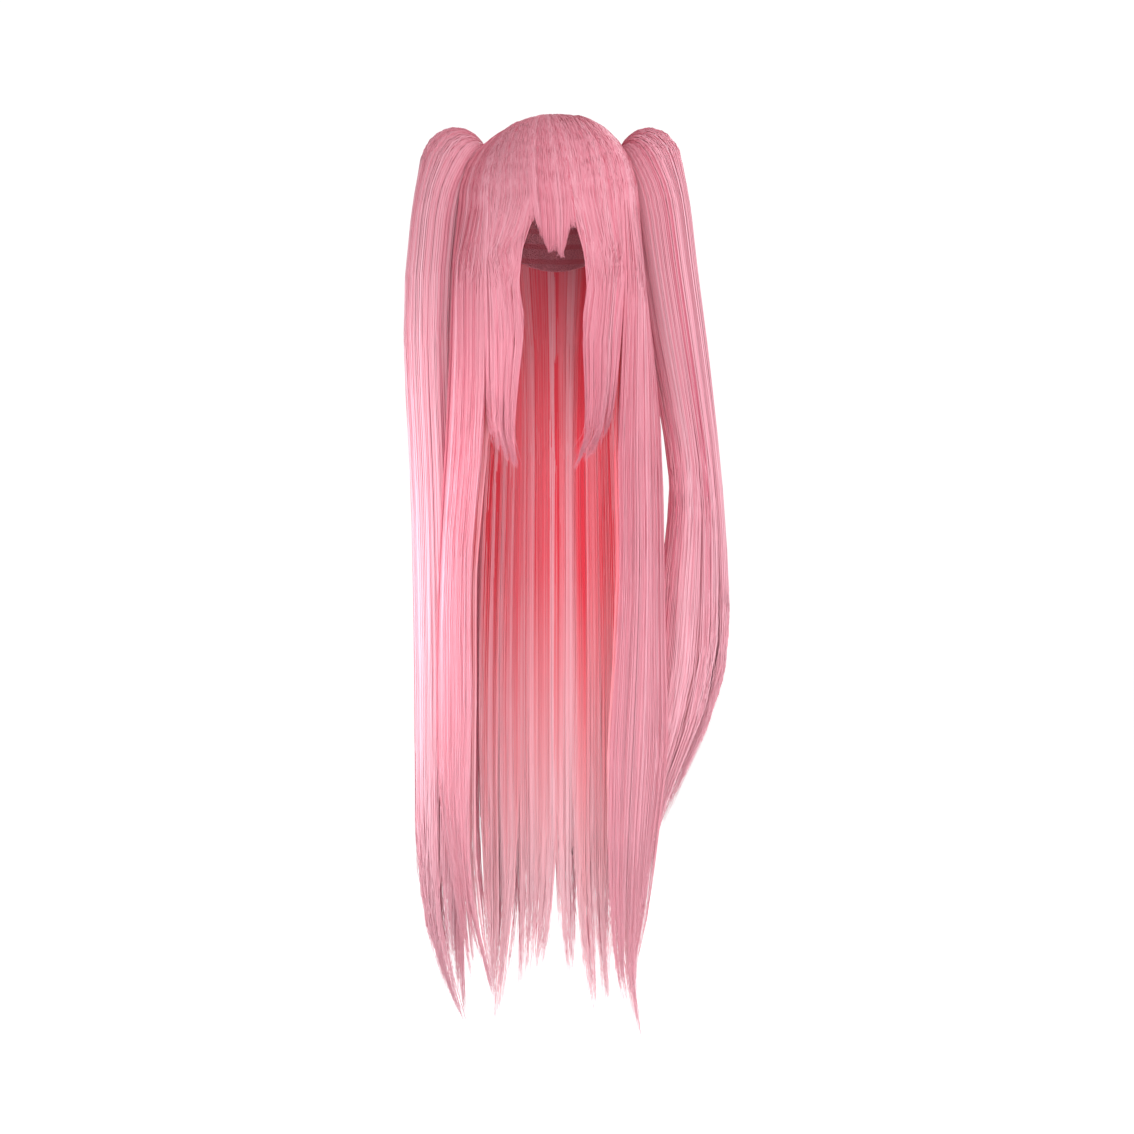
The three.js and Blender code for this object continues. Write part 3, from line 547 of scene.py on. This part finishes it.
def hair_material(name, deep, light, root, tip, root_shade_share, tip_light_share, streaks=0.3):
    """The finish of a kind of strand, from its four colours and the share of the last two: the
    painted shade at the root and the painted light at the tip.
    """
    material, tree, shader = new_material(name, 0.45, 0.1)
    shader.inputs["Specular Tint"].default_value = (1, 0.62, 0.7, 1)
    shader.inputs["Sheen Weight"].default_value = 0.05
    shader.inputs["Sheen Tint"].default_value = (1, 0.7, 0.78, 1)
    colour = tree.nodes.new("ShaderNodeGroup")
    colour.node_tree = fibre
    for label, value in (("Deep", deep), ("Light", light), ("Root Shade", root), ("Tip Light", tip)):
        colour.inputs[label].default_value = shade(value)
    colour.inputs["Root Share"].default_value = root_shade_share
    colour.inputs["Tip Share"].default_value = tip_light_share
    colour.inputs["Streaks"].default_value = streaks
    wire(tree, colour, "Colour", shader, "Base Color")
    wire(tree, colour, "Roughness", shader, "Roughness")
    return material


crown_strand = hair_material(
    "crown_strand", "cf667a", "ebaebc", "d07384", "e08c9e", 0.25, 0.4)
# The filled bodies under the strands are painted a deep saturated red, as the shade between the
# strands.
shaded_under_hair = hair_material(
    "shaded_under_hair", "e2505f", "f38f9e", "c8687b", "fecad4", 0.85, 0.75, 0.5)


def dress(piece, material, node):
    """Gives a piece that stands for one node of hair its finish and its place."""
    piece.data.materials.append(material)
    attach(piece, "root")
    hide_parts(node)


# A sheet runs round the head between two turns in degrees and drops so many millimetres. Its
# edges are shares of the head's half width and depth with the hair on, its falls are shares of
# its drop, and its thickness is a share of its body's. Every sheet's tables have these columns.
BANGS = {
    "from": -15.4, "to": 12.1, "drop": 52, "body": 11, "start": 0.08, "ribs": 4,
    # far edge of the lock, place of its tip, fall of the tip, fall of the far edge
    "locks": [(0.5, 0.7, 0.88, 0.78), (1, 0.5, 1, 0.26)],
    # fall, near edge out and back, far edge out and back, bow, thickness
    "rows": [
        (0.5, -0.27, -0.955, 0.215, -0.965, 0.02, 1),
        (1, -0.26, -0.93, 0.22, -0.94, 0.02, 0.9),
    ],
}
bangs_body = sheet_body("bangs_body", BANGS, 1, columns=24, rows=24, reach=0.45)
bangs_strands = comb_sheet(
    "bangs_strands", BANGS, 1, count=620, clumps=14, steps=11, seed=11, loose_hem=0.12,
    gather=0.35, hidden_shade=0.1, even=0.1, ragged=0, streaky=0.09)
dress(bangs_body, shaded_under_hair, "bangs")
dress(bangs_strands, crown_strand, "bangs")


# The side locks: shoulder-length locks that frame the face, sewn in at the temples. Each is cut
# to a long point that curves in, and carries a short cheek lock that ends beside the chin.
SIDE_LOCKS = {
    "left": {
        "from": 15.4, "to": 58, "drop": 286, "body": 11, "start": 0.96, "ribs": 7,
        "sweeps": (5, 5, 4),
        "locks": [(0.3, 0.5, 1, 0.95), (0.62, 0.4, 0.97, 0.9), (1, 0.3, 0.93, 0.8)],
        "rows": [
            (0.14, 0.55, -0.87, 0.87, -0.53, 0.06, 1),
            (0.26, 0.5, -0.84, 0.88, -0.54, 0.07, 1),
            (0.42, 0.42, -0.81, 0.88, -0.55, 0.07, 1),
            (0.68, 0.49, -0.75, 0.86, -0.56, 0.06, 1),
            (0.9, 0.53, -0.71, 0.82, -0.57, 0.05, 0.9),
            (1, 0.5, -0.7, 0.74, -0.58, 0.04, 0.8),
        ],
    },
    "right": {
        "from": 12.1, "to": 58, "drop": 286, "body": 11, "start": 0.96, "ribs": 7,
        "sweeps": (-4, -4, -3),
        "locks": [(0.3, 0.35, 1, 0.95), (0.62, 0.35, 0.97, 0.88), (1, 0.25, 0.9, 0.76)],
        "rows": [
            (0.14, 0.42, -0.9, 0.86, -0.53, 0.07, 1),
            (0.26, 0.4, -0.86, 0.85, -0.54, 0.08, 1),
            (0.42, 0.33, -0.82, 0.82, -0.55, 0.08, 1),
            (0.68, 0.36, -0.76, 0.76, -0.57, 0.07, 1),
            (0.9, 0.36, -0.72, 0.66, -0.6, 0.04, 0.9),
            (1, 0.26, -0.72, 0.5, -0.62, 0.03, 0.8),
        ],
    },
}
for side, hand, seed in (("left", -1, 21), ("right", 1, 22)):
    node, sheet = f"side_lock_{side}", SIDE_LOCKS[side]
    body = sheet_body(f"{node}_body", sheet, hand, columns=40, rows=40, reach=0.7)
    strands = comb_sheet(
        f"{node}_strands", sheet, hand, count=750, clumps=18, steps=12, seed=seed, inside=0.25,
        loose_hem=0.3, gather=0.75, hidden_shade=0.1, even=0.8, ragged=0.05, streaky=0.09,
        trimmed=True)
    dress(body, shaded_under_hair, node)
    dress(strands, crown_strand, node)


# The front tresses: long straight lengths from above the ears that fall in front of the
# shoulders almost to the hem of the tails. The left one stands out over its tail. Each has an
# outer layer of strands, and an inner one coloured deep red as painted shade.
TRESSES = {
    "left": {
        "from": 58, "to": 88, "drop": 878, "body": 20, "start": 0.955, "lift": 18, "ribs": 7,
        "sweeps": (12, -6, -9),
        "locks": [(0.35, 0.4, 1, 0.93), (0.68, 0.45, 0.98, 0.9), (1, 0.5, 0.96, 0.86)],
        "rows": [
            (0.045, 0.89, -0.51, 1.27, -0.06, 0.05, 0.7),
            (0.16, 0.9, -0.54, 1.3, -0.15, 0.05, 0.8),
            (0.28, 0.92, -0.57, 1.35, -0.25, 0.05, 0.9),
            (0.4, 1.04, -0.58, 1.42, -0.3, 0.05, 1),
            (0.5, 1.08, -0.57, 1.46, -0.3, 0.05, 1),
            (0.63, 1.06, -0.56, 1.48, -0.3, 0.05, 1),
            (0.76, 1.1, -0.55, 1.44, -0.3, 0.04, 0.95),
            (0.88, 1.06, -0.54, 1.26, -0.34, 0.03, 0.8),
            (1, 0.9, -0.52, 1.02, -0.4, 0.02, 0.6),
        ],
    },
    "right": {
        "from": 58, "to": 88, "drop": 928, "body": 20, "start": 0.9, "lift": 4, "ribs": 7,
        "sweeps": (8, 12, -6),
        "locks": [(0.35, 0.6, 0.96, 0.9), (0.68, 0.5, 1, 0.89), (1, 0.3, 0.95, 0.82)],
        "rows": [
            (0.045, 0.88, -0.51, 1.07, -0.06, 0.07, 0.7),
            (0.13, 0.87, -0.54, 1.18, -0.13, 0.06, 0.8),
            (0.27, 0.8, -0.58, 1.3, -0.25, 0.06, 0.9),
            (0.4, 0.82, -0.6, 1.33, -0.3, 0.06, 1),
            (0.5, 0.79, -0.6, 1.34, -0.31, 0.06, 1),
            (0.65, 0.7, -0.59, 1.37, -0.31, 0.05, 1),
            (0.76, 0.68, -0.57, 1.25, -0.32, 0.05, 0.95),
            (0.86, 0.69, -0.55, 1.16, -0.33, 0.04, 0.85),
            (0.93, 0.74, -0.53, 1.04, -0.34, 0.03, 0.75),
            (1, 0.88, -0.5, 1.02, -0.38, 0.02, 0.6),
        ],
    },
}
long_strand = hair_material(
    "long_strand", "d4687e", "f4c0cd", "d07387", "fdcad6", 0.3, 0.6)
# The inner strands are painted deep red as the shade at the back of each sheet.
shaded_inner_strand = hair_material(
    "shaded_inner_strand", "ee4a5a", "f8b4c0", "d0607a", "ffd8e0", 0.3, 0.92)
for side, hand, seed in (("left", -1, 31), ("right", 1, 32)):
    node, sheet = f"front_tress_{side}", TRESSES[side]
    body = sheet_body(f"{node}_body", sheet, hand, columns=32, rows=60)
    strands = comb_sheet(f"{node}_strands", sheet, hand, count=600, clumps=16, steps=18,
                         seed=seed, width=0.55, inside=0)
    inner = comb_sheet(f"{node}_inner", sheet, hand, count=250, clumps=12, steps=13,
                       seed=seed + 2, width=0.66, inside=1, hidden_shade=0, light=0.6,
                       streaky=0.15)
    dress(body, shaded_under_hair, node)
    dress(strands, long_strand, node)
    dress(inner, shaded_inner_strand, node)


# The back hair: the long fall behind, in two sheets that meet down the middle of the back, each
# with an outer and an inner layer of strands. The inner layer, which shows between the tresses,
# is coloured deep saturated red as painted shade.
BACK_ROWS = [
    (0.06, 0.95, 0.14, 0, 1, 0.22, 0.5),
    (0.15, 0.93, 0.45, 0, 0.98, 0.14, 0.65),
    (0.3, 0.99, 0.74, 0, 0.95, 0.06, 0.9),
    (0.6, 1.05, 0.78, 0, 0.93, 0.04, 1),
    (0.85, 0.98, 0.78, 0, 0.9, 0.03, 0.9),
    (1, 0.86, 0.76, 0, 0.88, 0.02, 0.7),
]
BACKS = {
    "left": {
        "from": 88, "to": 180, "drop": 914, "body": 24, "start": 0.88, "ribs": 12,
        "rows": BACK_ROWS, "gathers": (0.24, 0.3, 0.62, 0.68), "sweeps": (-14, -20, -12, -6),
        "locks": [(0.28, 0.6, 0.97, 0.89), (0.52, 0.3, 1, 0.91), (0.76, 0.5, 0.96, 0.88),
                  (1, 0.5, 0.94, 0.9)],
    },
    "right": {
        "from": 88, "to": 180, "drop": 914, "body": 24, "start": 0.9, "ribs": 12,
        "rows": BACK_ROWS, "gathers": (0.14, 0.46, 0.54, 0.86), "sweeps": (8, 18, 14, 10),
        "locks": [(0.28, 0.4, 0.95, 0.88), (0.52, 0.6, 0.98, 0.9), (0.76, 0.5, 1, 0.87),
                  (1, 0.4, 0.95, 0.9)],
    },
}
for side, hand, seed in (("left", -1, 41), ("right", 1, 42)):
    node, sheet = f"back_hair_{side}", BACKS[side]
    body = sheet_body(f"{node}_body", sheet, hand, columns=60, rows=60)
    strands = comb_sheet(f"{node}_strands", sheet, hand, count=850, clumps=22, steps=18,
                         seed=seed, width=0.62, inside=0, gather=0.62)
    inner = comb_sheet(f"{node}_inner", sheet, hand, count=650, clumps=20, steps=13,
                       seed=seed + 2, width=0.66, inside=1, gather=0.62, hidden_shade=0,
                       light=0.45, streaky=0.2)
    dress(body, shaded_under_hair, node)
    dress(strands, long_strand, node)
    dress(inner, shaded_inner_strand, node)


# The clip-on tails: each is a long bundle that a hidden claw clip holds to the side of the
# crown. The hair rises from the clip, goes over in a round hump, and hangs to the hem.
TAIL_TOP = 2.0
TAIL_BACK = 39.0
TAIL_DEPTH = 72.0
HUMP = 0.045
HUMP_END = 1.3
CLIP_SIDE = unit(np.array([-0.93, 0.0, 0.37]))
TAILS = {
    "left": {
        "length": 1029, "reach": 83, "width": 80,
        # fall, and the shares of the tail's reach, width and depth there
        "rows": [
            (0, 0.22, 0, 0), (0.003, 0.44, 0.42, 0.42), (0.008, 0.56, 0.64, 0.62),
            (0.02, 0.67, 0.86, 0.82), (0.045, 0.785, 1, 0.94), (0.09, 0.885, 1.02, 0.98),
            (0.16, 0.98, 1.02, 1), (0.25, 1, 0.98, 1), (0.4, 0.91, 0.9, 0.98),
            (0.6, 0.86, 0.85, 0.92), (0.74, 0.85, 0.8, 0.86), (0.82, 0.82, 0.72, 0.76),
            (0.89, 0.7, 0.54, 0.6), (0.94, 0.51, 0.34, 0.4), (0.975, 0.32, 0.16, 0.22),
            (1, 0.13, 0, 0),
        ],
        "hems": (0.99, 0.95), "seed": 51,
    },
    "right": {
        "length": 1009, "reach": 107, "width": 76,
        "rows": [
            (0, 0.1, 0, 0), (0.003, 0.27, 0.42, 0.42), (0.008, 0.35, 0.64, 0.62),
            (0.02, 0.425, 0.86, 0.82), (0.045, 0.505, 1, 0.94), (0.09, 0.585, 1.02, 0.98),
            (0.16, 0.66, 0.98, 1), (0.25, 0.77, 0.92, 1), (0.36, 0.885, 0.77, 0.98),
            (0.43, 0.945, 0.78, 0.96), (0.5, 0.985, 0.98, 0.94), (0.56, 1, 1.08, 0.92),
            (0.62, 0.945, 1.06, 0.84), (0.68, 0.78, 0.92, 0.7), (0.74, 0.5, 0.62, 0.54),
            (0.82, 0.22, 0.34, 0.42), (0.92, 0.1, 0.2, 0.26), (1, 0.02, 0, 0),
        ],
        "hems": (0.76, 0.95), "seed": 52,
    },
}


def tail_ring(tail, down):
    """The middle of a tail, half its width and half its depth, at a share of its length."""
    rows = np.array(tail["rows"])
    reach, wide, deep = np.moveaxis(row_weights(rows[:, 0], down) @ rows[:, 1:], -1, 0)
    half = np.maximum(wide, 0) * tail["width"] / 2
    return OUT_X + reach * tail["reach"] - half, half, np.maximum(deep, 0) * TAIL_DEPTH / 2


CROWN_CLEARANCE = 0.6
LOWEST_CROWN_HAIR = -270


def clear_of_crown(points):
    """Moves points that lie in the crown's hair out to its face."""
    grow = HEAD_HALF + HAIR_OUT + CROWN_CLEARANCE
    up = np.maximum(points[..., 2] + HEAD_HALF[2], 0)
    level = np.hypot(points[..., 0] / grow[0], points[..., 1] / grow[1]) ** HEAD_FULLNESS
    size = (level + (up / grow[2]) ** HEAD_FULLNESS) ** (1 / HEAD_FULLNESS)
    over = (1 / np.clip(size, 0.2, 1))[..., None] * (points[..., 2:] > LOWEST_CROWN_HAIR)
    over = np.maximum(over, 1)
    moved = points.copy()
    moved[..., :2] *= over
    moved[..., 2] = np.where(points[..., 2] > -HEAD_HALF[2], up * over[..., 0] - HEAD_HALF[2],
                             points[..., 2])
    return moved


def tail_point(tail, hand, way, size):
    """A point of a tail. Above the hump's widest level, way is a direction on its round top, and
    below it, its third number counts hump heights down the tail. Size 1 is the face."""
    down = np.maximum(1 - way[..., 2], 1) * HUMP
    middle, half, deep = tail_ring(tail, down)
    top = way[..., 2] > 0
    grow = size / np.where(top, np.linalg.norm(way, axis=-1), np.hypot(way[..., 0], way[..., 1]))
    rise = np.where(top, way[..., 2] * grow, way[..., 2]) - 1
    return np.stack([hand * (middle + half * way[..., 0] * grow),
                     TAIL_BACK + hand * deep * way[..., 1] * grow,
                     TAIL_TOP + rise * HUMP * tail["length"]], -1)


def over_hump(angle, t):
    """The way of a strand from the clip over the hump, in a curve that ends straight down."""
    end = np.stack([np.cos(angle), np.sin(angle), np.zeros_like(angle)], -1)
    turned = (1 - end @ CLIP_SIDE) / 2
    lift = np.stack([0 * turned, 0 * turned, turned], -1)
    t = t[..., None]
    bend = (CLIP_SIDE + 0.5 * unit(end - CLIP_SIDE) + 0.8 * lift)[:, None]
    turn = (end + 0.75 * lift)[:, None]
    drop = (end - [0, 0, HUMP_END])[:, None]
    return (CLIP_SIDE * (1 - t) ** 3 + 3 * bend * t * (1 - t) ** 2
            + 3 * turn * t ** 2 * (1 - t) + drop * t ** 3)


def tail_hem(tail, angle):
    """How far down the hair of a tail reaches. It is cut shorter on the outer side."""
    low, high = tail["hems"]
    return high + (low - high) * ((1 + np.cos(angle)) / 2) ** 1.5


TAIL_HANG = {"sway": 1.1, "ripples": 10, "wisp": 1.5, "long_wisp": 7, "long_share": 0.12,
             "flat": 0}


def comb_tail(name, tail, hand, count, clumps, steps, over, width=0.55):
    """The strands of a tail. So many of a strand's steps lie over the hump, from the clip to
    where the tail hangs, and below it the strands part into clumps."""
    seed = tail["seed"]
    rng = np.random.default_rng(seed)
    middles = (np.arange(clumps) + rng.uniform(-0.2, 1.2, clumps)) * 2 * np.pi / clumps
    root = rng.uniform(0, 2 * np.pi, count)
    gap = np.angle(np.exp(1j * (root[:, None] + rng.normal(0, 0.06, (count, 1)) - middles)))
    nearest = np.abs(gap).argmin(1)
    offset = -gap[np.arange(count), nearest]
    t = (np.arange(over) + rng.uniform(-0.5, 0.5, (count, 1))) / (over - 1)
    t[:, 0], t[:, -1] = 0.03, 1
    over_way = over_hump(root, t)
    hem = tail_hem(tail, middles) * rng.uniform(0.95, 1.04, clumps)
    hem = np.minimum(hem[nearest], 0.995) - 0.15 * rng.uniform(0, 1, count) ** 1.6
    order = np.linspace(0, 1, steps - over + 1)[1:]
    level = HUMP_END + (hem / HUMP - (1 + HUMP_END))[:, None] * order ** 1.1
    run = np.concatenate([np.linspace(0, 0.1, over), 0.1 + 0.9 * order])
    pull = 0.14 * smooth(run, 0.1, 0.5) + 0.5 * run ** 3
    twist = rng.normal(0, 0.06, clumps)[nearest] + 0.22 * np.sin(root + seed)
    turn = (offset[:, None] * pull + twist[:, None] * (run - 0.1).clip(0))[:, over:]
    hung = np.stack([np.cos(root[:, None] + turn), np.sin(root[:, None] + turn), -level], -1)
    way = np.concatenate([over_way, hung], 1)
    layer = np.abs(rng.normal(0, 0.05, count)) + rng.uniform(-0.01, 0.03, clumps)[nearest]
    layer = layer + 0.02 * (offset * clumps / np.pi) ** 2
    size = 1.03 - np.clip(layer, -0.02, 0.5)[:, None] * (1 + 2 * smooth(run, 0.8, 1))
    size = np.clip(size, 0.1, 1.05)
    paths = tail_point(tail, hand, way, size)
    middle, _, _ = tail_ring(tail, np.maximum(1 - way[..., 2], 1) * HUMP)
    core = np.stack([hand * middle, np.full_like(middle, TAIL_BACK),
                     np.minimum(paths[..., 2], TAIL_TOP - HUMP * tail["length"])], -1)
    away = outward(paths, core)
    hang = smooth(run, 0.15, 0.8)
    near_hem = smooth(run, 0.8, 1)
    paths = let_hang(rng, paths, away, clumps, nearest, run, hang, near_hem, TAIL_HANG)
    paths = clear_of_crown(paths)
    radius = strand_radius(rng, count, run, width, 0.8, 0.4, 0.04)
    # Painted shade: strands that lie deeper in the tail, and those on the side that faces the
    # head, are given a deeper tone.
    head_side_shade = 0.4 * np.clip(-np.cos(root) - 0.2, 0, 1)
    lighter = tone_spread(rng, clumps, nearest, 0.13, 0.12)
    tone = np.clip(0.58 - 0.9 * np.clip(layer, 0, 0.3) - head_side_shade + lighter, 0, 1)
    away = unit(away + rng.normal(0, 0.1, (count, 1, 3)))
    return add_strands(name, paths, radius, away, tone)


def tail_body(name, tail, hand, sides, rows, over):
    """The filled body of a tail, from the clip over the hump and down to where it thins out."""
    angle = np.linspace(0, 2 * np.pi, sides, endpoint=False)
    over_way = over_hump(angle, np.broadcast_to(np.linspace(0.1, 1, over), (sides, over)))
    lowest = 0.87 * tail_hem(tail, angle) / HUMP - 1
    level = np.linspace(HUMP_END, lowest, rows - over + 1)[1:].T
    turn = np.broadcast_to(angle[:, None], level.shape)
    hung = np.stack([np.cos(turn), np.sin(turn), -level], -1)
    way = np.concatenate([over_way, hung], 1).swapaxes(0, 1)
    run = np.linspace(0, 1, rows)[:, None]
    size = 0.9 - 0.06 * np.abs(np.sin(angle * 9 + 3 * run)) - 0.3 * smooth(run, 0.75, 1)
    return add_body(name, clear_of_crown(tail_point(tail, hand, way, size)), tail["seed"])


tail_strand = hair_material(
    "tail_strand", "d46c82", "f5c6d2", "e292a3", "fdccd8", 0.5, 0.6)
for side, hand in (("left", -1), ("right", 1)):
    node, tail = f"pigtail_{side}", TAILS[side]
    body = tail_body(f"{node}_body", tail, hand, sides=54, rows=60, over=12)
    strands = comb_tail(f"{node}_strands", tail, hand, count=1380, clumps=30, steps=21, over=11)
    dress(body, shaded_under_hair, node)
    dress(strands, tail_strand, node)


# The tail clips: a plain moulded bar hidden under each hump, in dull pink plastic with a fine
# moulded grain.
GRAIN_SCALE = 900
GRAIN_RELIEF = 0.0002
clip_plastic, tree, shader = new_material("clip_plastic", 0.42)
shader.inputs["Base Color"].default_value = shade("b98e95")
grain = pattern_in_place(tree, "ShaderNodeTexNoise", GRAIN_SCALE)
raise_bumps(tree, shader, grain, "Fac", GRAIN_RELIEF)
for side in ("left", "right"):
    finish_solid(f"pigtail_clip_{side}", clip_plastic)


# The studio: a wide floor of lit white paper under a white sky, and soft lamps: one high on
# the right, one high behind, one low in front, one on the left that fills the shade between the
# tails and the tresses, and a small one beside the left tail that washes it out at mid height.
FLOOR_LEVEL = -1.046
FLOOR_SIZE = 60
bpy.ops.object.select_all(action="DESELECT")
bpy.ops.mesh.primitive_plane_add(size=FLOOR_SIZE, location=(0, 0, FLOOR_LEVEL))
floor = bpy.context.object
floor.name = "studio_floor"
paper, tree, shader = new_material("studio_paper", 0.95, 0.0)
shader.inputs["Base Color"].default_value = (0.6, 0.6, 0.6, 1)
shader.inputs["Emission Color"].default_value = (0.95, 1, 0.99, 1)
shader.inputs["Emission Strength"].default_value = 0.77
floor.data.materials.append(paper)

world = bpy.data.worlds.new("studio")
bpy.context.scene.world = world
world.use_nodes = True
tree = world.node_tree
sky = tree.nodes["Background"]
sky.inputs["Color"].default_value = (1, 0.87, 0.9, 1)
sky.inputs["Strength"].default_value = 0.48
seen_sky = tree.nodes.new("ShaderNodeBackground")
seen_sky.inputs["Color"].default_value = (1, 1, 1, 1)
seen_sky.inputs["Strength"].default_value = 1.05
rays = tree.nodes.new("ShaderNodeLightPath")
choice = tree.nodes.new("ShaderNodeMixShader")
wire(tree, rays, "Is Camera Ray", choice, 0)
wire(tree, sky, 0, choice, 1)
wire(tree, seen_sky, 0, choice, 2)
wire(tree, choice, 0, tree.nodes["World Output"], "Surface")
bpy.context.scene.view_settings.view_transform = "Standard"


def add_lamp(name, place, aim, size, power, spread=180):
    """A square soft lamp that points at a place on the wig, with its spread in degrees."""
    light = bpy.data.lights.new(name, "AREA")
    light.size = size
    light.energy = power
    light.spread = float(np.radians(spread))
    lamp = bpy.data.objects.new(name, light)
    bpy.context.scene.collection.objects.link(lamp)
    lamp.location = place
    way = np.array(aim) - np.array(place)
    lamp.rotation_euler = (
        float(np.arctan2(np.hypot(way[0], way[1]), -way[2])), 0.0,
        float(np.arctan2(way[0], -way[1]) + np.pi))


add_lamp("high_lamp", (1.7, -1.3, 1.9), (0, 0, -0.2), 1.6, 46)
add_lamp("wash_lamp", (-0.58, -0.25, -0.5), (-0.15, 0, -0.5), 0.3, 1, 90)
add_lamp("left_lamp", (-2.4, -1.9, -0.6), (0, 0, -0.5), 1.4, 6)
add_lamp("front_lamp", (0.3, -2.5, -0.84), (0, 0, -0.85), 0.6, 10.5)
add_lamp("back_lamp", (1.5, 2.7, 1.3), (0, 0, -0.4), 1.6, 46)

VIEW_DISTANCE = 6
VIEW_WIDTH = 1.2928
VIEW_MIDDLE = (0.0125, -0.5016)
SENSOR = 36
camera = bpy.data.cameras.new("camera")
camera.sensor_width = SENSOR
camera.lens = SENSOR * VIEW_DISTANCE / VIEW_WIDTH
viewer = bpy.data.objects.new("camera", camera)
bpy.context.scene.collection.objects.link(viewer)
viewer.location = (VIEW_MIDDLE[0], -VIEW_DISTANCE, VIEW_MIDDLE[1])
viewer.rotation_euler = (float(np.pi / 2), 0, 0)
camera.clip_end = 100
bpy.context.scene.camera = viewer
